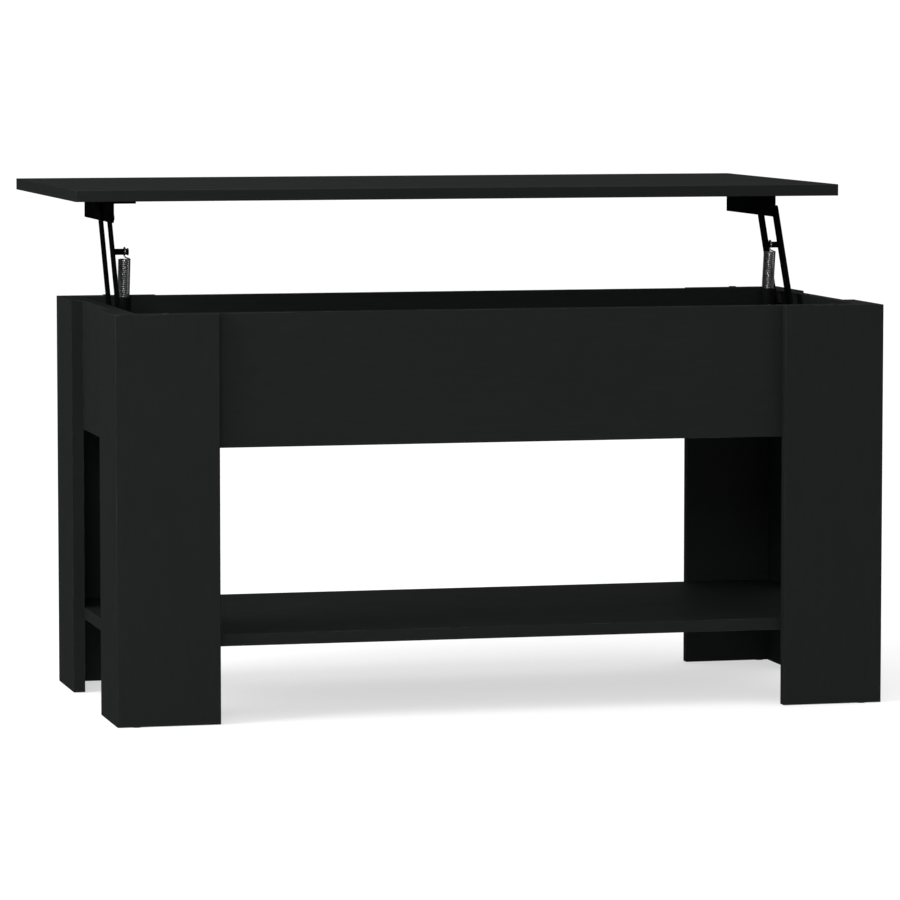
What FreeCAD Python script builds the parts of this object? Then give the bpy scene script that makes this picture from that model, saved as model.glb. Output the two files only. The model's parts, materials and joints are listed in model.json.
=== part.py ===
# Coffee table with a lid that swings up and away on two pairs of parallel arms, helped by
# two extension springs. Millimetres, +Z up, +X along the table, +Y away from the sitter.
# The lid is drawn raised. The origin is on the floor, under the middle of the raised table.
import FreeCAD, Part
import math
import os

V = FreeCAD.Vector

# Boards
length = 988.0          # carcass over the legs
depth = 452.0           # carcass over the legs
carcass_top = 509.5     # rim of the carcass above the floor
board = 15.0            # thickness of every board
leg_width = 130.0       # face board of a leg
leg_return = 120.0      # side of a leg, over its face board
apron_height = 166.7    # rim down to the lower edge of the box
shelf_height = 96.0     # floor to the underside of the shelf
lid_over_end = 11.0     # lid past the carcass at each end
lid_over_side = 24.0    # closed lid past the carcass at the front and rear
edge = 0.8              # chamfer on the boards' long edges

# Lid movement
lid_gap = 1.5           # closed lid above the rim
lift = 129.0            # closed to raised
travel = 245.0          # closed to raised, away from the sitter
lean = 28.87            # raised arm past the vertical, degrees

# Mechanism
steel = 3.0             # brackets and arms
arm_width = 19.2
arm_end = 6.2           # arm past the middle of a pivot
arm_corner = 4.5        # radius of the corners there
arm_inset = 18.1        # inner face of the arms, in from the end panel
running_gap = 0.6       # between an arm and the bracket beside it
head_gap = 0.3          # under a rivet head that an arm turns against
rivet_r = 3.0
rivet_head_r = 5.5
rivet_head = 1.6        # thickness of a rivet head
pivot_play = 0.05       # radial, rivet in arm
washer_r = 6.0
washer = 0.4            # thickness
front_pivot_back = 85.2     # raised upper pivot of the front arm, behind the carcass middle
front_pivot_drop = 23.6     # raised upper pivot of the front arm, under the lid
arm_step = 74.65        # front pivot to rear pivot, back
arm_rise = 12.5         # front pivot to rear pivot, up
top_bracket_length = 213.6
top_bracket_height = 30.2
top_bracket_nose = 7.5  # in front of the front upper pivot
top_bracket_corner = 3.0    # bevel under that nose
top_flange = 31.5       # flange of the top bracket under the lid, over its web
top_lip = 5.5           # turned-down front end of that flange
pivot_margin = 12.0     # steel above the rear lower pivot
base_plate_clear = 15.0     # foot of the base bracket above the box floor
anchor_margin = 2.0     # steel of the base bracket between the anchor pin and the ledge
base_screw_margin = 15.0    # base screws from the ends of the bracket

# Spring
spring_inset = 13.7     # middle of the spring, in from the arms
spring_r = 8.2
wire = 2.0
pin_r = 4.0
pin_past = 3.5          # pin past the middle of the spring, to its head
pin_head_r = 4.8
pin_head = 1.5
pin_relief = 0.5        # round the pin, in the foot of the top bracket
hook_play = 0.5         # wire loop round its pin
pin_share = 0.701       # spring pin along the front arm, from the lower pivot
pin_offset = 1.5        # spring pin in front of the arm's middle
anchor_back = 2.6       # anchor pin behind the rear arm's lower pivot
anchor_drop = 47.0      # anchor pin under the rear arm's lower pivot
sleeve_wall = 1.2
sleeve_play = 0.5
hook_length = 13.0      # coil to the middle of its pin
sleeve_length = 68.0

# Fasteners
screw_r = 2.0
screw_head_r = 4.0
screw_head = 2.0
screw_length = 12.0
screw_cross = 1.0       # width and depth of the recess in a screw head
leg_screw_length = 26.0
leg_screw_inset = 14.0  # from the inside corner of the box, along the end panel
leg_screw_rise = 20.0   # that screw above the cam bolt beside it
cam_r = 7.5
cam_depth = 12.0
cam_cross = 1.6         # width of the recess in a cam
cam_reach = 34.0        # middle of a cam from the joint
bolt_r = 3.0
bolt_gap = 1.0          # cam bolt from its cam
bolt_bite = 9.0         # cam bolt in the board that it screws into
dowel_r = 4.0
dowel_length = 28.0
dowel_bite = 9.0        # dowel in the face that it meets
hole_play = 0.05        # radial, round anything set in a board
bumper_r = 5.0
bumper_gap = 0.3        # bumper to closed lid
glide_r = 6.5
glide = 0.8             # legs above the floor
glide_inset = 25.0

# Worked out
half_x, half_y = length / 2, depth / 2
lid_length, lid_depth = length + 2 * lid_over_end, depth + 2 * lid_over_side
panel_x = half_x - board            # outer face of an end panel
panel_in = panel_x - board          # inner face of an end panel
apron_y = half_y - board            # outer face of an apron
apron_in = apron_y - board          # inner face of an apron
box_low = carcass_top - apron_height
lid_low = carcass_top + lid_gap + lift
lid_front = travel - lid_depth / 2
middle_y = (lid_front + lid_depth - half_y) / 2     # middle of the raised table, from the carcass
arm_plane = panel_in - arm_inset
spring_line = arm_plane - spring_inset
arm_out = arm_plane + steel
base_web_in = arm_out + running_gap
top_web_in = arm_plane - running_gap - steel
slope = math.radians(lean)
arm_length = (travel ** 2 + lift ** 2) / (2 * (travel * math.sin(slope) + lift * math.cos(slope)))
front_top = V(0, front_pivot_back, lid_low - front_pivot_drop)
reach = V(0, math.sin(slope), math.cos(slope)) * arm_length
front_base = front_top - reach
step = V(0, arm_step, arm_rise)
rear_top = front_top + step
rear_base = front_base + step
across = V(0, -math.cos(slope), math.sin(slope))
spring_pin = front_base + reach * pin_share + across * pin_offset
anchor = rear_base + V(0, anchor_back, -anchor_drop)
closing = math.degrees(2 * math.asin(math.hypot(travel, lift) / 2 / arm_length))
closed_pin = front_base + FreeCAD.Rotation(V(1, 0, 0), closing).multVec(spring_pin - front_base)
hook_r = pin_r + hook_play + wire / 2
parts = {}


def block(x0, x1, y0, y1, z0, z1):
    return Part.makeBox(x1 - x0, y1 - y0, z1 - z0, V(x0, y0, z0))


def rod(start, direction, radius, span):
    return Part.makeCylinder(radius, span, start, direction)


def at(x, point):
    """A point of the mechanism's side view, set at x."""
    return V(x, point.y, point.z)


def joined(shapes):
    return shapes[0].multiFuse(shapes[1:]).removeSplitter()


def eased(shape, along):
    """A board with a small chamfer on the edges that run along the given axis."""
    def runs(item):
        way = item.Vertexes[-1].Point - item.Vertexes[0].Point
        return abs(way.dot(along)) > 0.99 * way.Length
    return shape.makeChamfer(edge, [item for item in shape.Edges if runs(item)])


def mirrored(shape):
    return shape.mirror(V(0, 0, 0), V(1, 0, 0))


def corners():
    return [(name_y + "_" + name_x, sx, sy)
            for name_x, sx in (("left", -1), ("right", 1))
            for name_y, sy in (("front", -1), ("rear", 1))]


# Boards of the carcass, before their holes
X, Y, Z = V(1, 0, 0), V(0, 1, 0), V(0, 0, 1)
boards = {
    "lid_panel": eased(block(-lid_length / 2, lid_length / 2, lid_front, lid_front + lid_depth,
                             lid_low, lid_low + board), X),
    "box_floor": block(-panel_in, panel_in, -apron_in, apron_in, box_low, box_low + board),
    "shelf": block(-panel_x, panel_x, -apron_y, apron_y, shelf_height, shelf_height + board),
}
for name, side in (("front", -1), ("rear", 1)):
    low_y, high_y = sorted((side * apron_in, side * apron_y))
    boards[name + "_apron"] = block(-panel_x, panel_x, low_y, high_y, box_low, carcass_top)
for name, side in (("left", -1), ("right", 1)):
    low_x, high_x = sorted((side * panel_in, side * panel_x))
    boards[name + "_end_panel"] = block(low_x, high_x, -apron_in, apron_in, box_low, carcass_top)
for name, sx, sy in corners():
    face_x = sorted((sx * (half_x - leg_width), sx * half_x))
    face_y = sorted((sy * apron_y, sy * half_y))
    side_x = sorted((sx * panel_x, sx * half_x))
    side_y = sorted((sy * (half_y - leg_return), sy * apron_y))
    boards[name + "_leg_face"] = eased(block(*face_x, *face_y, glide, carcass_top), Z)
    boards[name + "_leg_side"] = block(*side_x, *side_y, glide, carcass_top)

# Fittings set in the boards. Each takes its own holes out of the boards that it enters.
cam_locks, cam_bolts, leg_dowels, floor_dowels, leg_screws = [], [], [], [], []


def bore(name, start, direction, radius, span):
    boards[name] = boards[name].cut(rod(start, direction, radius + hole_play, span))


def cam_joint(held, holder, face, outward, cam_way):
    """A cam lock in the board held, with its bolt screwed into the board holder at the point face."""
    lock = face - outward * cam_reach + cam_way * (board / 2 - cam_depth)
    start = face - outward * (cam_reach - cam_r - bolt_gap)
    span = cam_reach - cam_r - bolt_gap + bolt_bite
    bore(held, lock, cam_way, cam_r, cam_depth)
    bore(held, start, outward, bolt_r, span - bolt_bite)
    bore(holder, face, outward, bolt_r, bolt_bite)
    cross = Part.makeBox(cam_r, cam_cross, cam_cross, V(-cam_r / 2, -cam_cross / 2, -cam_cross / 2))
    slot = joined([cross, cross.rotated(V(), Z, 90)])
    slot.Placement = FreeCAD.Placement(lock + cam_way * cam_depth, FreeCAD.Rotation(Z, cam_way))
    cam_locks.append(rod(lock, cam_way, cam_r, cam_depth).cut(slot))
    cam_bolts.append(rod(start, outward, bolt_r, span))


def dowel_joint(held, holder, face, outward, kept):
    """A dowel from the edge of the board held into the face of the board holder."""
    start = face - outward * (dowel_length - dowel_bite)
    bore(held, start, outward, dowel_r, dowel_length - dowel_bite)
    bore(holder, face, outward, dowel_r, dowel_bite)
    kept.append(rod(start, outward, dowel_r, dowel_length))


def screw(start, direction, span):
    """A pan-headed screw whose head stands on the point start."""
    head = Part.makeCylinder(screw_head_r, screw_head, start - direction * screw_head, direction)
    recess = Part.makeBox(screw_head_r, screw_cross, screw_cross, V(-screw_head_r / 2, -screw_cross / 2, 0))
    cross = joined([recess, recess.rotated(V(), Z, 90)])
    cross.Placement = FreeCAD.Placement(start - direction * screw_head, FreeCAD.Rotation(Z, direction))
    return joined([head.cut(cross), rod(start, direction, screw_r, span)])


for name, sx, sy in corners():
    name_y, name_x = name.split("_")
    panel, apron = name_x + "_end_panel", name_y + "_apron"
    face, side = name + "_leg_face", name + "_leg_side"
    for z in (box_low + apron_height * 0.3, carcass_top - apron_height * 0.25):
        cam_joint(panel, apron, V(sx * (panel_in + board / 2), sy * apron_in, z), Y * sy, X * -sx)
        face_start = V(sx * (half_x - leg_width * 0.6), sy * apron_in, z)
        side_start = V(sx * panel_in, sy * (apron_in - leg_screw_inset), z + leg_screw_rise)
        for start, way, first, second in ((face_start, Y * sy, apron, face),
                                          (side_start, X * sx, panel, side)):
            bore(first, start, way, screw_r, board)
            bore(second, start + way * board, way, screw_r, leg_screw_length - board)
            leg_screws.append(screw(start, way, leg_screw_length))
    shelf_face = V(sx * (half_x - leg_width * 0.5), sy * apron_y, shelf_height + board / 2)
    cam_joint("shelf", face, shelf_face, Y * sy, Z * -1)
    for z in (shelf_height / 2, carcass_top / 2, carcass_top - apron_height / 2):
        dowel_joint(side, face, V(sx * (panel_x + board / 2), sy * apron_y, z), Y * sy, leg_dowels)
    dowel_joint("box_floor", apron, V(sx * panel_in * 0.6, sy * apron_in, box_low + board / 2),
                Y * sy, floor_dowels)

parts["foot_glides"] = [rod(V(sx * (half_x - glide_inset), sy * (half_y - board / 2), 0), Z, glide_r, glide)
                        for name, sx, sy in corners()]
parts["lid_bumpers"] = [rod(V(sx * (half_x - leg_width / 2), sy * (half_y - board / 2), carcass_top), Z,
                            bumper_r, lid_gap - bumper_gap) for name, sx, sy in corners()]
parts["cam_locks"], parts["cam_bolts"] = cam_locks, cam_bolts
parts["leg_dowels"], parts["floor_dowels"] = leg_dowels, floor_dowels
parts["leg_screws"] = leg_screws


# The right-hand mechanism. The left-hand one is its mirror image.
def plate(x, thickness, points):
    """A flat plate across X, with its outline in the side view."""
    face = Part.Face(Part.makePolygon([at(x, p) for p in points + points[:1]]))
    return face.extrude(X * thickness)


def arm(low, high):
    """A flat bar with rounded corners and a hole at each pivot."""
    half, end = across * (arm_width / 2), reach / arm_length * arm_end
    bar = plate(arm_plane, steel, [low + half - end, high + half + end, high - half + end, low - half - end])
    corners_across = [e for e in bar.Edges if abs(e.tangentAt(e.FirstParameter).x) > 0.9]
    bar = bar.makeFillet(arm_corner, corners_across)
    for p in (low, high):
        bar = bar.cut(rod(at(arm_plane, p), X, rivet_r + pivot_play, steel))
    return bar


def washers(x, points):
    return [rod(at(x, p), X, washer_r, washer).cut(rod(at(x, p), X, rivet_r, washer)) for p in points]


def rivet(point, low, high):
    """A rivet with its heads outside low and high."""
    return joined([rod(at(low - rivet_head, point), X, rivet_head_r, rivet_head),
                   rod(at(low, point), X, rivet_r, high - low),
                   rod(at(high, point), X, rivet_head_r, rivet_head)])


def bracket_screws(points, direction):
    return [screw(p, direction, screw_length) for p in points]


right = {}
right["front_arm"] = [arm(front_base, front_top).cut(rod(at(arm_plane, spring_pin), X, pin_r, steel))]
right["rear_arm"] = [arm(rear_base, rear_top)]

# Base bracket: a plate on the end panel, a ledge, and an upright web that carries the lower pivots
web_low = anchor.z - pin_r - steel - anchor_margin
web_front, web_rear = front_base.y - arm_width, anchor.y + arm_width
web_high = rear_base.z + pivot_margin
web_out = base_web_in + steel
web = plate(base_web_in, steel, [V(0, web_front, web_low), V(0, web_rear, web_low),
                                 V(0, web_rear, rear_base.z), V(0, rear_base.y + arm_width / 2, web_high),
                                 V(0, front_base.y, web_high), V(0, web_front, front_base.z)])
ledge = block(base_web_in, panel_in, web_front, web_rear, web_low, web_low + steel)
plate_low = box_low + board + base_plate_clear
back = block(panel_in - steel, panel_in, web_front, web_rear, plate_low, web_low + steel)
base_bracket = joined([web, ledge, back])
for p in (front_base, rear_base):
    base_bracket = base_bracket.cut(rod(at(base_web_in, p), X, rivet_r, steel))
base_bracket = base_bracket.cut(rod(at(base_web_in, anchor), X, pin_r, steel))
base_holes = [V(panel_in - steel, y, plate_low + (web_low - plate_low) * share)
              for share in (0.25, 0.7)
              for y in (web_front + base_screw_margin, web_rear - base_screw_margin)]
for hole in base_holes:
    base_bracket = base_bracket.cut(rod(hole, X, screw_r + hole_play, steel))
    bore("right_end_panel", hole, X, screw_r, screw_length)
    bore("left_end_panel", V(-hole.x, hole.y, hole.z), X * -1, screw_r, screw_length)
right["base_bracket"] = [base_bracket]
right["base_screws"] = bracket_screws(base_holes, X)

# Top bracket: an upright web beside the arms, and a flange under the lid
top_front = front_top.y - top_bracket_nose
top_rear = top_front + top_bracket_length
web_foot = lid_low - top_bracket_height
web = plate(top_web_in, steel, [V(0, top_front, lid_low), V(0, top_rear, lid_low), V(0, top_rear, web_foot),
                                V(0, top_front + top_bracket_corner, web_foot),
                                V(0, top_front, web_foot + top_bracket_corner)])
flange = block(top_web_in + steel - top_flange, top_web_in + steel, top_front, top_rear,
               lid_low - steel, lid_low)
lip = block(top_web_in + steel - top_flange, top_web_in + steel, top_front, top_front + steel,
            lid_low - top_lip, lid_low)
pin_home = closed_pin + V(0, travel, lift)      # where the spring pin meets the web of the closed lid
notch = joined([rod(at(top_web_in, pin_home), X, pin_r + pin_relief, steel),
                block(top_web_in, top_web_in + steel, pin_home.y - pin_r - pin_relief,
                      pin_home.y + pin_r + pin_relief, min(web_foot, pin_home.z) - pin_r, pin_home.z)])
top_bracket = joined([web, flange, lip]).cut(notch)
for p in (front_top, rear_top):
    top_bracket = top_bracket.cut(rod(at(top_web_in, p), X, rivet_r, steel))
hole_x = top_web_in + steel - top_flange * 0.6
top_holes = [V(hole_x, top_front + top_bracket_length * share, lid_low - steel)
             for share in (0.1, 0.37, 0.63, 0.9)]
for hole in top_holes:
    top_bracket = top_bracket.cut(rod(hole, Z, screw_r + hole_play, steel))
    for x in (-hole.x, hole.x):
        bore("lid_panel", V(x, hole.y, hole.z), Z, screw_r, screw_length)
right["top_bracket"] = [top_bracket]
right["top_screws"] = bracket_screws(top_holes, Z)

# Pivots
right["base_pivots"] = [rivet(p, arm_plane - head_gap, web_out) for p in (front_base, rear_base)]
right["top_pivots"] = [rivet(p, top_web_in, arm_out + head_gap) for p in (front_top, rear_top)]
right["base_washers"] = washers(base_web_in - washer, (front_base, rear_base))
right["top_washers"] = washers(top_web_in + steel, (front_top, rear_top))

# Spring, its two pins and its sleeve
pin_start = spring_line - pin_past
for name, point, far in (("spring_pin", spring_pin, arm_out), ("anchor_pin", anchor, web_out)):
    right[name] = [joined([rod(at(pin_start - pin_head, point), X, pin_head_r, pin_head),
                           rod(at(pin_start, point), X, pin_r, far - pin_start)])]
pull = spring_pin - anchor
spring_length = pull.Length
pull.normalize()


def along_spring(distance):
    return at(spring_line, anchor + pull * distance)


coil_length = spring_length - 2 * hook_length
coil = rod(along_spring(hook_length), pull, spring_r, coil_length)
hollow = rod(along_spring(hook_length + wire), pull, spring_r - wire, coil_length - 2 * wire)
hooks = []
for seat, way in ((0, 1), (spring_length, -1)):
    hooks.append(Part.makeTorus(hook_r, wire / 2, along_spring(seat), X))
    stem = hook_length - hook_r + wire / 2
    hooks.append(rod(along_spring(seat + way * hook_r), pull * way, wire / 2, stem))
right["spring"] = [joined([coil.cut(hollow)] + hooks)]
sleeve_r = spring_r + sleeve_play
sleeve = rod(along_spring(hook_length), pull, sleeve_r + sleeve_wall, sleeve_length)
right["spring_sleeve"] = [sleeve.cut(rod(along_spring(hook_length), pull, sleeve_r, sleeve_length))]

for name, solids in right.items():
    parts["right_" + name] = solids
    parts["left_" + name] = [mirrored(solid) for solid in solids]
for name, solid in boards.items():
    parts[name] = [solid]

os.makedirs("parts", exist_ok=True)
for name, solids in sorted(parts.items()):
    shape = Part.makeCompound(solids) if len(solids) > 1 else solids[0]
    shape.translated(V(0, -middle_y, 0)).exportStep("parts/" + name + ".step")

closed_pull = closed_pin - anchor
swing = math.degrees(pull.getAngle(closed_pull))
print("arm length", arm_length, "closing turn", closing, "middle_y", middle_y)
print("spring swing", swing, "stretch", closed_pull.Length - spring_length)
for name, point in (("front_base", front_base), ("rear_base", rear_base), ("front_top", front_top),
                    ("rear_top", rear_top), ("spring_pin", spring_pin), ("anchor", anchor), ("pull", pull)):
    print(name, point)
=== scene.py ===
import bpy
import bmesh
import json
import math
from mathutils import Matrix, Vector


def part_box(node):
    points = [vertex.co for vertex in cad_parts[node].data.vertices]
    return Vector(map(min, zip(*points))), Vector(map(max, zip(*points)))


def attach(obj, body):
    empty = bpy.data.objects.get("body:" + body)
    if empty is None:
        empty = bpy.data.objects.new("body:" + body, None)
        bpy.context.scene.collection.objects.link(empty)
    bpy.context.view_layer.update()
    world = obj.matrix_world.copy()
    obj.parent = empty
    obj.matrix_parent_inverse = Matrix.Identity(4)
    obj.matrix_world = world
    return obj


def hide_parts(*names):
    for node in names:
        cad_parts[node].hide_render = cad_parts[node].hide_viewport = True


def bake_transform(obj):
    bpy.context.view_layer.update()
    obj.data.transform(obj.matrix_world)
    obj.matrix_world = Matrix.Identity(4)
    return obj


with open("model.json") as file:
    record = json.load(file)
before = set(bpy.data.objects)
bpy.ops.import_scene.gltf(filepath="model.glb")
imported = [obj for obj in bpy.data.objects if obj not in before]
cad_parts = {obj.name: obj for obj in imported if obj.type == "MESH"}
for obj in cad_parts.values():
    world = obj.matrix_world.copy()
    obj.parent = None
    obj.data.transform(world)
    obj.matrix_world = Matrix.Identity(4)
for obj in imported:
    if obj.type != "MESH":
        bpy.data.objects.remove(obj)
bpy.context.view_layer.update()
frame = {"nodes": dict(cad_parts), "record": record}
nodes = frame["nodes"]
record = frame["record"]
scene = bpy.context.scene
scene.view_settings.view_transform = "Standard"
print("frame loaded:", len(nodes), "nodes")


def middleOf(low, high):
    return (low + high) / 2


bodyOf = {node: body for body, members in record["behaviour"]["bodies"].items() for node in members}
slotOf = {entry["node"]: entry["material_slot"] for entry in record["subparts"]}
sides = ("left", "right")
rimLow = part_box("front_apron")[0]
carcassMiddle = middleOf(*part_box("box_floor"))


# Camera, floor and light
view = {
    "lens": 195.895,
    "place": (-1.5106, -6.1297, 0.8630),    # from the carcass middle, on the floor
    "down": 4.960,
    "turn": 13.687,
    "clipEnd": 5000,
}


def addCamera():
    data = bpy.data.cameras.new("camera")
    data.lens = view["lens"]
    data.clip_end = view["clipEnd"]
    camera = bpy.data.objects.new("camera", data)
    camera.location = Vector(view["place"]) + Vector((0, carcassMiddle.y, 0))
    camera.rotation_euler = (math.radians(90 - view["down"]), 0, -math.radians(view["turn"]))
    scene.collection.objects.link(camera)
    scene.camera = camera


stageLook = {
    "floorSize": 4000,
    "floorColor": (0.42, 0.42, 0.42, 1),
    "floorRoughness": 0.9,
    "floorGlow": 0.60,      # a backlit floor, which keeps the shadows faint
    "roomColor": (1.04, 1.04, 1.04, 1),     # what lights the object and shows behind it
    "mirrorLow": (0.016, 0.017, 0.017, 1),  # what glossy surfaces reflect, at the horizon and below
    "mirrorHigh": (0.34, 0.34, 0.34, 1),    # and overhead
    "mirrorRise": (0.25, 0.95),             # where the one fades to the other
}
lamps = {       # place, aim, width, depth, watts, seen in gloss
    "keySoftbox": ((-3.3, -0.9, 1.7), (0, 0, 0.4), 1.8, 1.8, 142, False),
    "frontSoftbox": ((-2.2, -5.6, 2.4), (0, 0, 0.4), 1.5, 1.1, 55, True),
    "topSoftbox": ((0.5, 0.6, 4.2), (0, 0, 0.4), 2.2, 1.4, 8, True),
}


def addFloor():
    mesh = bpy.data.meshes.new("floor")
    half = stageLook["floorSize"] / 2
    corners = [(-half, -half, 0), (half, -half, 0), (half, half, 0), (-half, half, 0)]
    mesh.from_pydata(corners, [], [(0, 1, 2, 3)])
    mesh.materials.append(newMaterial("floor", {
        "Base Color": stageLook["floorColor"],
        "Roughness": stageLook["floorRoughness"],
        "Specular IOR Level": 0.0,
        "Emission Color": (1, 1, 1, 1),
        "Emission Strength": stageLook["floorGlow"],
    })[0])
    floor = bpy.data.objects.new("floor", mesh)
    scene.collection.objects.link(floor)
    floor.visible_glossy = False


def addRoom():
    world = bpy.data.worlds.new("studio")
    scene.world = world
    world.use_nodes = True
    shader = Shader(world.node_tree)
    ray = shader.add("ShaderNodeLightPath")
    direction = shader.add("ShaderNodeTexCoord")["Generated"]
    height = shader.add("ShaderNodeSeparateXYZ", {}, {"Vector": direction})["Z"]
    rise = height.fade(*stageLook["mirrorRise"])
    mirrored = shader.mixColor(rise, stageLook["mirrorLow"], stageLook["mirrorHigh"])
    seen = shader.mixColor(ray["Is Glossy Ray"], stageLook["roomColor"], mirrored)
    world.node_tree.links.new(seen.socket, world.node_tree.nodes["Background"].inputs["Color"])


def addLamps():
    for name, (place, aim, width, depth, watts, glossy) in lamps.items():
        light = bpy.data.lights.new(name, "AREA")
        light.shape = "RECTANGLE"
        light.size, light.size_y, light.energy = width, depth, watts
        lamp = bpy.data.objects.new(name, light)
        lamp.location = place
        lamp.visible_glossy = glossy
        lamp.rotation_euler = (Vector(aim) - Vector(place)).to_track_quat("-Z", "Y").to_euler()
        scene.collection.objects.link(lamp)


# Shader maths
class Value:
    def __init__(self, shader, socket):
        self.shader, self.socket = shader, socket

    def maths(self, operation, *others):
        inputs = dict(enumerate((self,) + others))
        return self.shader.add("ShaderNodeMath", {"operation": operation}, inputs)["Value"]

    def __add__(self, other):
        return self.maths("ADD", other)

    def __sub__(self, other):
        return self.maths("SUBTRACT", other)

    def __rsub__(self, other):
        return (self * -1) + other

    def __mul__(self, other):
        return self.maths("MULTIPLY", other)

    __radd__, __rmul__ = __add__, __mul__

    def size(self):
        return self.maths("ABSOLUTE")

    def smaller(self, other):
        return self.maths("MINIMUM", other)

    def larger(self, other):
        return self.maths("MAXIMUM", other)

    def fade(self, start, end):     # 0 at start, 1 at end, smooth between
        settings = {"interpolation_type": "SMOOTHSTEP", "clamp": True}
        inputs = {"Value": self, "From Min": start, "From Max": end, "To Min": 0.0, "To Max": 1.0}
        return self.shader.add("ShaderNodeMapRange", settings, inputs)["Result"]


class Shader:
    def __init__(self, tree):
        self.tree = tree

    def add(self, kind, settings=None, inputs=None):
        node = self.tree.nodes.new(kind)
        for name, value in (settings or {}).items():
            setattr(node, name, value)
        for name, value in (inputs or {}).items():
            if isinstance(value, Value):
                self.tree.links.new(value.socket, node.inputs[name])
            else:
                node.inputs[name].default_value = value
        return {output.name: Value(self, output) for output in node.outputs if output.enabled}

    def mixColor(self, share, first, second):
        inputs = {0: share, 6: first, 7: second}    # Factor, A and B of a colour mix
        return self.add("ShaderNodeMix", {"data_type": "RGBA"}, inputs)["Result"]

    def place(self, middle=(0, 0, 0), scale=(1, 1, 1)):
        spot = self.add("ShaderNodeTexCoord")["Object"]
        offset = tuple(-m * s for m, s in zip(middle, scale))
        inputs = {"Vector": spot, "Location": offset, "Scale": scale}
        return self.add("ShaderNodeMapping", {"vector_type": "POINT"}, inputs)["Vector"]

    def noise(self, spot, scale, detail=2.0, roughness=0.5):
        inputs = {"Vector": spot, "Scale": scale, "Detail": detail, "Roughness": roughness}
        return self.add("ShaderNodeTexNoise", {}, inputs)["Fac"]

    def bump(self, height, distance):
        inputs = {"Height": height, "Distance": distance, "Strength": 1.0}
        return self.add("ShaderNodeBump", {}, inputs)["Normal"]


def newMaterial(name, constants):
    material = bpy.data.materials.new(name)
    material.use_nodes = True
    principled = material.node_tree.nodes["Principled BSDF"]
    for socket, value in constants.items():
        principled.inputs[socket].default_value = value
    return material, Shader(material.node_tree), principled


def feed(shader, principled, color, roughness, normal):
    inputs = {"Base Color": color, "Roughness": roughness, "Normal": normal}
    for name, value in inputs.items():
        shader.tree.links.new(value.socket, principled.inputs[name])


# Laminated boards. Noises are scale, detail, roughness; fades are start, end.
laminate = {
    "color": (0.0083, 0.0098, 0.0094, 1),
    "paleColor": (0.0095, 0.0110, 0.0106, 1),
    "wornColor": (0.026, 0.029, 0.028, 1),
    "bandColor": (0.0070, 0.0077, 0.0075, 1),
    "specular": 0.22,
    "roughness": 0.42,
    "grain": (620.0, 3.0, 0.62),
    "grainStretch": 0.06,           # scale of the grain along the board
    "grainFade": (0.35, 0.75),
    "pore": (1500, 1.0),
    "poreDepth": 0.00002,
    "smear": (6.5, 3.0, 0.55),
    "blotch": (38.0, 4.0, 0.6),
    "blotchFade": (0.42, 0.62),
    "faceFade": (0.0002, 0.0005),   # in from a broad face
    "band": 0.0006,                 # edge band, thickness seen at an arris
    "bandBlur": 0.00025,
    "bandGroove": 1.5,
    "wear": 0.0009,                 # width of the rubbed arris
    "wearShare": 0.7,
    "smearRough": 0.16,
    "grainRough": 0.10,
    "wearRough": 0.12,
}


def boardMaterial(node):
    low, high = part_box(node)
    middle, half = middleOf(low, high), (high - low) / 2
    thin = min(range(3), key=lambda k: half[k])
    long = max(range(3), key=lambda k: half[k])
    constants = {"Specular IOR Level": laminate["specular"]}
    material, shader, principled = newMaterial("laminate_" + node, constants)
    spot = shader.place(middle)
    axes = shader.add("ShaderNodeSeparateXYZ", {}, {"Vector": spot})
    depths = [half[k] - axes["XYZ"[k]].size() for k in range(3)]    # in from each pair of faces
    least = depths[0].smaller(depths[1]).smaller(depths[2])
    most = depths[0].larger(depths[1]).larger(depths[2])
    arris = depths[0] + depths[1] + depths[2] - least - most        # in from the nearest arris
    onFace = 1 - depths[thin].fade(*laminate["faceFade"])
    bandLine = onFace * (1 - (arris - laminate["band"]).size().fade(0.0, laminate["bandBlur"]))
    blotch = shader.noise(spot, *laminate["blotch"])
    rubbed = (1 - arris.fade(0.0, laminate["wear"])) * blotch.fade(*laminate["blotchFade"])
    stretch = tuple(laminate["grainStretch"] if k == long else 1.0 for k in range(3))
    grain = shader.noise(shader.place(middle, stretch), *laminate["grain"])
    pore = shader.noise(spot, *laminate["pore"])
    smear = shader.noise(spot, *laminate["smear"])
    tone = grain.fade(*laminate["grainFade"])
    color = shader.mixColor(tone, laminate["color"], laminate["paleColor"])
    color = shader.mixColor(bandLine, color, laminate["bandColor"])
    color = shader.mixColor(rubbed * laminate["wearShare"], color, laminate["wornColor"])
    roughness = (laminate["roughness"] + (smear - 0.5) * laminate["smearRough"]
                 + (grain - 0.5) * laminate["grainRough"] + rubbed * laminate["wearRough"])
    height = pore * 0.5 + grain * 0.5 - bandLine * laminate["bandGroove"]
    feed(shader, principled, color, roughness, shader.bump(height, laminate["poreDepth"]))
    return material


# Steel, plastic and wood: a coarse noise mixes two colours, a fine one roughens the surface
coat = {
    "constants": {"Specular IOR Level": 0.07},
    "coarse": (60.0, 3.0), "fade": (0.4, 0.75),
    "fine": (1900.0, 2.0, 0.55), "spread": 0.25, "depth": 0.00006,
}
plating = {
    "constants": {"Metallic": 1.0},
    "coarse": (240.0, 3.0), "fade": (0.38, 0.7),
    "fine": (1400.0, 3.0, 0.6), "stretch": (1, 1, 0.25), "spread": 0.3, "depth": 0.00002,
}
moulding = {
    "coarse": (90.0, 3.0), "fade": (0.35, 0.75),
    "fine": (1300.0, 2.0), "spread": 0.3, "depth": 0.00005,
}
turnedWood = {
    "constants": {"Specular IOR Level": 0.3},
    "fade": (0.3, 0.7),
    "fine": (900.0, 4.0, 0.6), "stretch": (1, 0.08, 1), "spread": 0.2, "depth": 0.00008,
}
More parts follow.
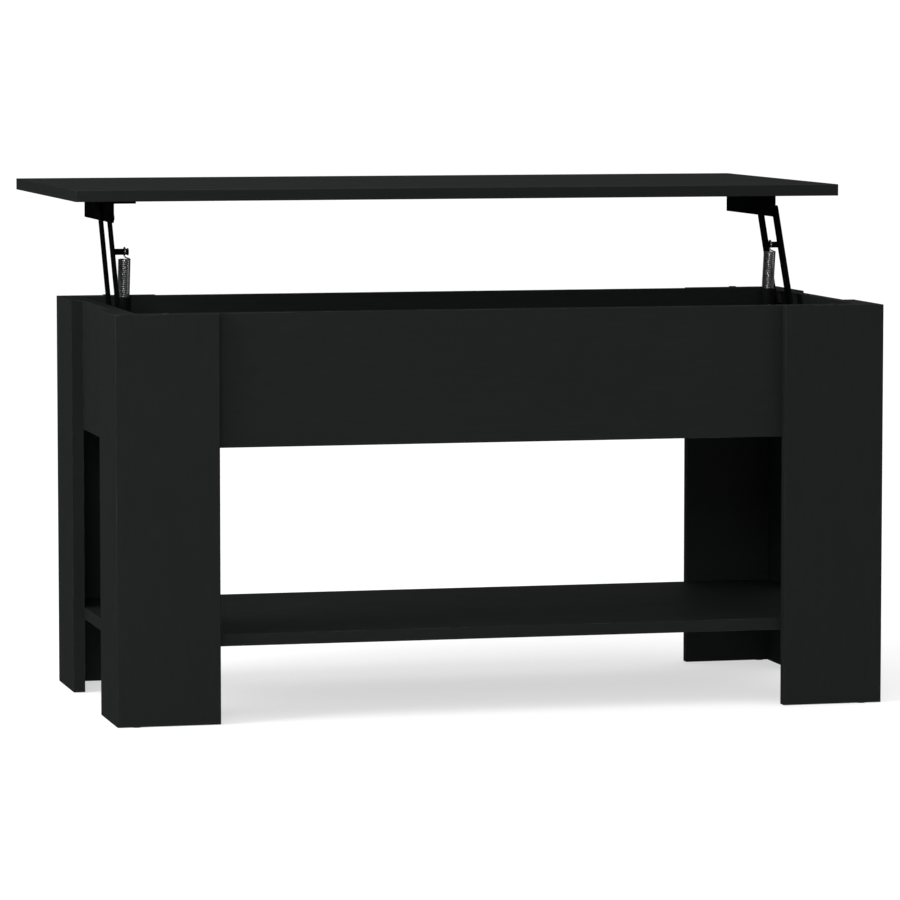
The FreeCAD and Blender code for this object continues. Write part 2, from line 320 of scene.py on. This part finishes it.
finishes = {    # by material slot: name, values shared with others, own values
    "black_steel": ("powder_coat", coat, {
        "colors": ((0.0006, 0.0006, 0.0007, 1), (0.0016, 0.0016, 0.0017, 1)), "roughness": 0.58}),
    "spring_steel": ("spring_wire", plating, {
        "colors": ((0.90, 0.90, 0.91, 1), (0.66, 0.66, 0.68, 1)), "roughness": 0.31}),
    "zinc": ("cast_zinc", plating, {
        "colors": ((0.46, 0.46, 0.47, 1), (0.30, 0.30, 0.31, 1)), "roughness": 0.46}),
    "screw_steel": ("screw_plate", plating, {
        "colors": ((0.62, 0.62, 0.62, 1), (0.42, 0.42, 0.43, 1)), "roughness": 0.34}),
    # the near-black sleeve over the lower spring is painted shade: a dark stand-in for the shade on
    # the spring inside the box
    "sleeve_plastic": ("sleeve", moulding, {
        "colors": ((0.0030, 0.0030, 0.0030, 1), (0.0050, 0.0050, 0.0050, 1)), "roughness": 0.55,
        "constants": {"Specular IOR Level": 0.2}}),
    "washer_nylon": ("nylon", moulding, {
        "colors": ((0.62, 0.60, 0.54, 1), (0.72, 0.70, 0.64, 1)), "roughness": 0.45,
        "constants": {"Specular IOR Level": 0.4}}),
    "glide_plastic": ("glide", moulding, {
        "colors": ((0.012, 0.012, 0.012, 1), (0.020, 0.020, 0.020, 1)), "roughness": 0.5,
        "constants": {"Specular IOR Level": 0.3}}),
    "bumper_rubber": ("bumper", moulding, {
        "colors": ((0.012, 0.012, 0.012, 1), (0.022, 0.022, 0.021, 1)), "roughness": 0.7,
        "constants": {"Specular IOR Level": 0.25}, "fine": (2600.0, 2.0)}),
    "beech": ("beech", turnedWood, {
        "colors": ((0.52, 0.36, 0.20, 1), (0.33, 0.20, 0.10, 1)), "roughness": 0.7}),
}


def fittingMaterial(name, shared, own):
    look = {**shared, **own}
    material, shader, principled = newMaterial(name, look["constants"])
    fine = shader.noise(shader.place(scale=look.get("stretch", (1, 1, 1))), *look["fine"])
    coarse = shader.noise(shader.place(), *look["coarse"]) if "coarse" in look else fine
    color = shader.mixColor(coarse.fade(*look["fade"]), *look["colors"])
    roughness = look["roughness"] + (fine - 0.5) * look["spread"]
    feed(shader, principled, color, roughness, shader.bump(fine, look["depth"]))
    return material


materials = {slot: fittingMaterial(*finish) for slot, finish in finishes.items()}
print("materials made")


# Pieces made from the boards and plates
easing = {
    "board": 0.0006,        # width of the rounded arris
    "fitting": 0.0004,
    "segments": 2,
    "corner": 40,           # degrees, the least that is rounded
    "flat": 0.6,            # degrees, the most that is one face
}
merging = {"cad": 0.000005, "turned": 0.000002}


def addPiece(name, mesh, body, replaced):
    piece = bpy.data.objects.new(name, mesh)
    scene.collection.objects.link(piece)
    if body:
        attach(piece, body)
    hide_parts(replaced)
    return piece


def workObject(mesh):
    work = bpy.data.objects.new("work", mesh)
    scene.collection.objects.link(work)
    return work


def baked(piece):
    depsgraph = bpy.context.evaluated_depsgraph_get()
    return bpy.data.meshes.new_from_object(piece.evaluated_get(depsgraph))


def smoothShade(mesh, angle=35):
    shape = bmesh.new()
    shape.from_mesh(mesh)
    for face in shape.faces:
        face.smooth = True
    for seam in shape.edges:
        seam.smooth = len(seam.link_faces) == 2 and seam.calc_face_angle(0) < math.radians(angle)
    shape.to_mesh(mesh)
    shape.free()


def joined(node):       # a CAD mesh is loose triangles
    shape = bmesh.new()
    shape.from_mesh(nodes[node].data)
    bmesh.ops.remove_doubles(shape, verts=shape.verts, dist=merging["cad"])
    return shape


def easedCopy(node, width):
    mesh = nodes[node].data.copy()
    shape = joined(node)
    bmesh.ops.dissolve_limit(shape, angle_limit=math.radians(easing["flat"]),
                             verts=shape.verts, edges=shape.edges)
    shape.to_mesh(mesh)
    shape.free()
    smoothShade(mesh, 180)
    work = workObject(mesh)
    bevel = work.modifiers.new("ease", "BEVEL")
    bevel.width, bevel.segments = width, easing["segments"]
    bevel.limit_method, bevel.angle_limit = "ANGLE", math.radians(easing["corner"])
    bevel.use_clamp_overlap = True
    even = work.modifiers.new("even", "WEIGHTED_NORMAL")    # the largest face sets each normal
    even.mode, even.weight, even.thresh = "FACE_AREA", 100, 1e-6
    done = baked(work)
    bpy.data.objects.remove(work)
    return done


def dressEased(node, width, material):
    mesh = easedCopy(node, width)
    mesh.materials.clear()
    mesh.materials.append(material)
    addPiece(node + "_finished", mesh, bodyOf[node], node)


def dressBoards():
    for node in nodes:
        if slotOf[node] == "black_board":
            dressEased(node, easing["board"], boardMaterial(node))


def dressPlates():
    plates = [node for node in nodes if slotOf[node] == "black_steel" and "pivots" not in node]
    # the spring sleeves are painted shade, a dark stand-in for the shade on the springs inside the
    # box
    for node in plates + ["cam_locks"] + [side + "_spring_sleeve" for side in sides]:
        dressEased(node, easing["fitting"], materials[slotOf[node]])


def paintOthers():
    for node in nodes:
        if slotOf[node] in materials and not nodes[node].hide_render:
            nodes[node].data.materials.clear()
            nodes[node].data.materials.append(materials[slotOf[node]])


# Small fittings, set out by Geometry Nodes
def solidsOf(node):
    shape = joined(node)
    left, found = set(shape.verts), []
    while left:
        reached, group = [left.pop()], []
        while reached:
            vert = reached.pop()
            group.append(vert.co.copy())
            for seam in vert.link_edges:
                other = seam.other_vert(vert)
                if other in left:
                    left.remove(other)
                    reached.append(other)
        low = Vector(min(co[k] for co in group) for k in range(3))
        high = Vector(max(co[k] for co in group) for k in range(3))
        found.append((low, high))
    shape.free()
    return sorted(found, key=lambda corners: tuple(corners[0]))     # the same order on every run


def lathe(name, profile, steps):
    shape = bmesh.new()
    verts = [shape.verts.new((radius, 0, height)) for radius, height in profile]
    rim = [shape.edges.new(pair) for pair in zip(verts, verts[1:])]
    bmesh.ops.spin(shape, geom=verts + rim, cent=(0, 0, 0), axis=(0, 0, 1),
                   angle=math.tau, steps=steps)
    bmesh.ops.remove_doubles(shape, verts=shape.verts, dist=merging["turned"])
    bmesh.ops.recalc_face_normals(shape, faces=shape.faces)
    mesh = bpy.data.meshes.new(name)
    shape.to_mesh(mesh)
    shape.free()
    smoothShade(mesh)
    made = bpy.data.objects.new(name, mesh)
    scene.collection.objects.link(made)
    return made


def arc(radiusX, radiusZ, start, end, middleX, middleZ, steps=6):
    angles = [math.radians(start + (end - start) * k / steps) for k in range(steps + 1)]
    return [(middleX + radiusX * math.cos(a), middleZ + radiusZ * math.sin(a)) for a in angles]


def socket(tree, name, kind, way="INPUT", value=None):
    made = tree.interface.new_socket(name, in_out=way, socket_type=kind)
    if value is not None:
        made.default_value = value
    return made.identifier


def linkNodes(tree, *pairs):
    for giver, output, taker, entry in pairs:
        tree.links.new(giver.outputs[output], taker.inputs[entry])


def setOutTree():
    tree = bpy.data.node_groups.new("setOutFittings", "GeometryNodeTree")
    keys = {"points": socket(tree, "Points", "NodeSocketGeometry"),
            "shape": socket(tree, "Shape", "NodeSocketObject"),
            "turn": socket(tree, "Random turn", "NodeSocketFloat", value=0.0),
            "seed": socket(tree, "Seed", "NodeSocketInt", value=7),
            "finish": socket(tree, "Finish", "NodeSocketMaterial")}
    socket(tree, "Geometry", "NodeSocketGeometry", "OUTPUT")
    new = tree.nodes.new
    entry, leave = new("NodeGroupInput"), new("NodeGroupOutput")
    info, facing = new("GeometryNodeObjectInfo"), new("GeometryNodeInputNamedAttribute")
    facing.data_type = "FLOAT_VECTOR"
    facing.inputs["Name"].default_value = "facing"
    align = new("FunctionNodeAlignRotationToVector")
    align.axis = "Z"
    spin, chance = new("FunctionNodeAxisAngleToRotation"), new("FunctionNodeRandomValue")
    chance.data_type = "FLOAT"
    spin.inputs["Axis"].default_value = (0, 0, 1)
    minus = new("ShaderNodeMath")
    minus.operation = "MULTIPLY"
    minus.inputs[1].default_value = -1
    both = new("FunctionNodeRotateRotation")
    both.rotation_space = "LOCAL"
    scatter, real, paint = (new("GeometryNode" + kind) for kind in
                            ("InstanceOnPoints", "RealizeInstances", "SetMaterial"))
    linkNodes(tree, (entry, "Points", scatter, "Points"), (entry, "Shape", info, "Object"),
              (info, "Geometry", scatter, "Instance"), (facing, "Attribute", align, "Vector"),
              (entry, "Random turn", minus, 0), (entry, "Seed", chance, "Seed"),
              (minus, 0, chance, 2), (entry, "Random turn", chance, 3),     # Min and Max of a float
              (chance, 1, spin, "Angle"), (align, "Rotation", both, "Rotation"),
              (spin, "Rotation", both, "Rotate By"), (both, "Rotation", scatter, "Rotation"),
              (scatter, "Instances", real, "Geometry"), (real, "Geometry", paint, "Geometry"),
              (entry, "Finish", paint, "Material"), (paint, "Geometry", leave, "Geometry"))
    return tree, keys


fittingsTree, fittingsKeys = setOutTree()


def grown(name, mesh, tree, keys, **values):
    work = workObject(mesh)
    modifier = work.modifiers.new("grow", "NODES")
    modifier.node_group = tree
    for key, value in values.items():
        modifier[keys[key]] = value
    work.update_tag()
    done = baked(work)
    done.name = name
    bpy.data.objects.remove(work)
    return done


def setOut(name, shape, places, turn, body, slot, replaced):
    mesh = bpy.data.meshes.new(name)
    mesh.from_pydata([place for place, facing in places], [], [])
    facings = mesh.attributes.new("facing", "FLOAT_VECTOR", "POINT")
    for item, (place, facing) in zip(facings.data, places):
        item.vector = facing
    done = grown(name, mesh, fittingsTree, fittingsKeys, shape=shape, turn=turn,
                 finish=materials[slot])
    bpy.data.objects.remove(shape)
    addPiece(name, done, body, replaced)


screwLook = {
    "head": 0.5,            # height of the head, as a share of its radius
    "dome": 0.55,           # rounded share of that height
    "shank": 0.5,           # radius over the thread, as a share of the head's
    "root": 0.72,           # radius between threads, as a share of that
    "recess": 0.55,         # length of the cross, as a share of the head's width
    "recessWidth": 0.0008,
    "recessDepth": 0.0013,
    "pitch": 0.0011,
    "crest": 0.45,          # shares of the pitch
    "valley": 0.9,
    "plain": 0.001,         # under the head
    "point": 0.002,
    "steps": 20,
}


def screwShape(headR, length):
    headH, shankR = headR * screwLook["head"], headR * screwLook["shank"]
    root, domeH, pitch = shankR * screwLook["root"], headH * screwLook["dome"], screwLook["pitch"]
    profile = [(0, 0)] + arc(headR, domeH, 90, 0, 0, -domeH)[1:]
    profile += [(headR, -headH), (root, -headH)]
    for k in range(int((length - headH - screwLook["plain"] - screwLook["point"]) / pitch)):
        z = -headH - screwLook["plain"] - k * pitch
        profile += [(root, z), (shankR, z - pitch * screwLook["crest"]),
                    (root, z - pitch * screwLook["valley"])]
    profile += [(root, -length + screwLook["point"]), (0, -length)]
    screw = lathe("screw", profile, screwLook["steps"])
    bar = (headR * 2 * screwLook["recess"], screwLook["recessWidth"], screwLook["recessDepth"] * 2)
    cutters = []
    for turn in (0, 90):
        block = bmesh.new()
        bmesh.ops.create_cube(block, size=1)
        block.transform(Matrix.Diagonal((*bar, 1)))
        block.transform(Matrix.Rotation(math.radians(turn), 4, "Z"))
        mesh = bpy.data.meshes.new("bar")
        block.to_mesh(mesh)
        block.free()
        cutters.append(workObject(mesh))
        cut = screw.modifiers.new("cut", "BOOLEAN")
        cut.object, cut.operation, cut.solver = cutters[-1], "DIFFERENCE", "EXACT"
    done = baked(screw)
    screw.modifiers.clear()
    screw.data = done
    for cutter in cutters:
        bpy.data.objects.remove(cutter)
    return screw


def inward(low, high):      # a screw's head, its facing, length and the head's radius
    size = high - low
    axis = max(range(3), key=lambda k: size[k])
    middle = middleOf(low, high)
    toMiddle = Vector((carcassMiddle.x, carcassMiddle.y, rimLow.z)) - middle
    facing = Vector((0, 0, 0))
    facing[axis] = 1 if toMiddle[axis] > 0 else -1
    head = middle.copy()
    head[axis] = high[axis] if facing[axis] > 0 else low[axis]
    return head, facing, size[axis], max(size[k] for k in range(3) if k != axis) / 2


def dressScrews():
    groups = [side + kind for side in sides for kind in ("_base_screws", "_top_screws")]
    for node in ["leg_screws"] + groups:
        found = [inward(low, high) for low, high in solidsOf(node)]
        length, headR = found[0][2:]
        places = [screw[:2] for screw in found]
        setOut(node + "_threaded", screwShape(headR, length), places, math.pi,
               bodyOf[node], "screw_steel", node)


rivetLook = {"head": 0.0016, "shank": 6 / 11, "arcSteps": 8, "steps": 40}


def dressRivets():
    for node in [side + kind for side in sides for kind in ("_base_pivots", "_top_pivots")]:
        found = solidsOf(node)
        low, high = found[0]
        half, headR, head = (high.x - low.x) / 2, (high.z - low.z) / 2, rivetLook["head"]
        dome = arc(headR, head, 0, 90, 0, half - head, rivetLook["arcSteps"])
        top = [(headR * rivetLook["shank"], half - head)] + dome
        profile = [(radius, -height) for radius, height in reversed(top)] + top
        places = [(middleOf(low, high), (1, 0, 0)) for low, high in found]
        setOut(node + "_domed", lathe("rivet", profile, rivetLook["steps"]), places, 0.0,
               bodyOf[node], "black_steel", node)


padLook = {
    "edge": 0.6,            # radius of the edge, as a share of the height
    "dimple": (0.35, 0.3),  # radius at its mouth and floor, as shares of the pad's
    "dimpleFloor": 0.8,     # as a share of the height
    "arcSteps": 5,
    "steps": 40,
}


def dressPads():
    for node, facing in (("lid_bumpers", 1), ("foot_glides", -1)):
        found = solidsOf(node)
        low, high = found[0]
        radius, height = (high.x - low.x) / 2, high.z - low.z
        edge, floor = min(radius, height) * padLook["edge"], height * padLook["dimpleFloor"]
        mouth, foot = (radius * share for share in padLook["dimple"])
        profile = [(0, 0), (radius, 0)]
        profile += arc(edge, edge, 0, 90, radius - edge, height - edge, padLook["arcSteps"])
        profile += [(mouth, height), (foot, floor), (0, floor)]
        places = []
        for low, high in found:
            middle = middleOf(low, high)
            back = low.z if facing > 0 else high.z
            places.append(((middle.x, middle.y, back), (0, 0, facing)))
        setOut(node + "_moulded", lathe("pad", profile, padLook["steps"]), places, 0.0,
               "carcass", slotOf[node], node)


# Springs
springLook = {
    "wire": 0.00195,        # diameter
    "pitch": 0.0026,
    "hookLength": 0.0095,   # from the pin to the first turn
    "hookWrap": 300,        # degrees round the pin
    "hookPoints": 22,
    "risePoints": 8,
    "pointsPerTurn": 28,
    "sides": 10,
}


def wireTree():
    tree = bpy.data.node_groups.new("sweepWire", "GeometryNodeTree")
    keys = {"path": socket(tree, "Path", "NodeSocketGeometry"),
            "radius": socket(tree, "Wire radius", "NodeSocketFloat", value=springLook["wire"] / 2),
            "sides": socket(tree, "Sides", "NodeSocketInt", value=springLook["sides"]),
            "finish": socket(tree, "Finish", "NodeSocketMaterial")}
    socket(tree, "Geometry", "NodeSocketGeometry", "OUTPUT")
    new = tree.nodes.new
    entry, leave = new("NodeGroupInput"), new("NodeGroupOutput")
    ring = new("GeometryNodeCurvePrimitiveCircle")
    toCurve, sweep, real, smooth, paint = (new("GeometryNode" + kind) for kind in (
        "MeshToCurve", "CurveToMesh", "RealizeInstances", "SetShadeSmooth", "SetMaterial"))
    sweep.inputs["Fill Caps"].default_value = True
    linkNodes(tree, (entry, "Path", toCurve, "Mesh"), (toCurve, "Curve", sweep, "Curve"),
              (entry, "Wire radius", ring, "Radius"), (entry, "Sides", ring, "Resolution"),
              (ring, "Curve", sweep, "Profile Curve"), (sweep, "Mesh", real, "Geometry"),
              (real, "Geometry", smooth, "Geometry"), (smooth, "Geometry", paint, "Geometry"),
              (entry, "Finish", paint, "Material"), (paint, "Geometry", leave, "Geometry"))
    return tree, keys


def springPath(low, high, coilR, hookR):
    along = (high - low).normalized()
    side = Vector((1, 0, 0))
    front = along.cross(side).normalized()
    length, hookLength = (high - low).length, springLook["hookLength"]
    coilLength = length - 2 * hookLength
    turns = round(coilLength / springLook["pitch"])
    total = turns * springLook["pointsPerTurn"]
    wrap, steps = math.radians(springLook["hookWrap"]), springLook["hookPoints"]
    rise = springLook["risePoints"]
    path = []

    def add(height, u, v):
        path.append(low + along * height + side * u + front * v)

    for k in range(steps + 1):      # lower hook, round the anchor pin
        angle = math.pi / 2 - wrap * (1 - k / steps)
        add(hookR * math.sin(angle), 0, hookR * math.cos(angle))
    for k in range(1, rise):        # out from the middle to the first turn
        share = k / rise
        add(hookR + (hookLength - hookR) * share, coilR * share * share, 0)
    for k in range(total + 1):      # coils
        angle = math.tau * turns * k / total
        add(hookLength + coilLength * k / total, coilR * math.cos(angle), coilR * math.sin(angle))
    for k in range(1, rise):        # back to the middle
        share = 1 - k / rise
        add(length - hookR - (hookLength - hookR) * share, coilR * share * share, 0)
    for k in range(steps + 1):      # upper hook, round the pin on the arm
        angle = -math.pi / 2 + wrap * k / steps
        add(length + hookR * math.sin(angle), 0, hookR * math.cos(angle))
    return path


def dressSprings():
    tree, keys = wireTree()
    wire, hookLength = springLook["wire"], springLook["hookLength"]
    for side in sides:
        node = side + "_spring"
        low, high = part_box(node)
        pins = [middleOf(*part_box(side + name)) for name in ("_anchor_pin", "_spring_pin")]
        ends = [Vector(((low.x + high.x) / 2, pin.y, pin.z)) for pin in pins]
        coilR = (high.x - low.x) / 2 - wire / 2
        hookR = ends[0].z - low.z - wire / 2
        path = springPath(ends[0], ends[1], coilR, hookR)
        mesh = bpy.data.meshes.new(node + "_wire")
        mesh.from_pydata(path, [(k, k + 1) for k in range(len(path) - 1)], [])
        done = grown(node + "_wire", mesh, tree, keys, radius=wire / 2, sides=springLook["sides"],
                     finish=materials["spring_steel"])
        piece = addPiece(node + "_wire", done, None, node)
        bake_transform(piece)


addCamera()
addFloor()
addRoom()
addLamps()
dressBoards()
print("boards dressed")
dressPlates()
paintOthers()
dressScrews()
dressRivets()
dressPads()
print("fittings dressed")
dressSprings()
print("springs wound")
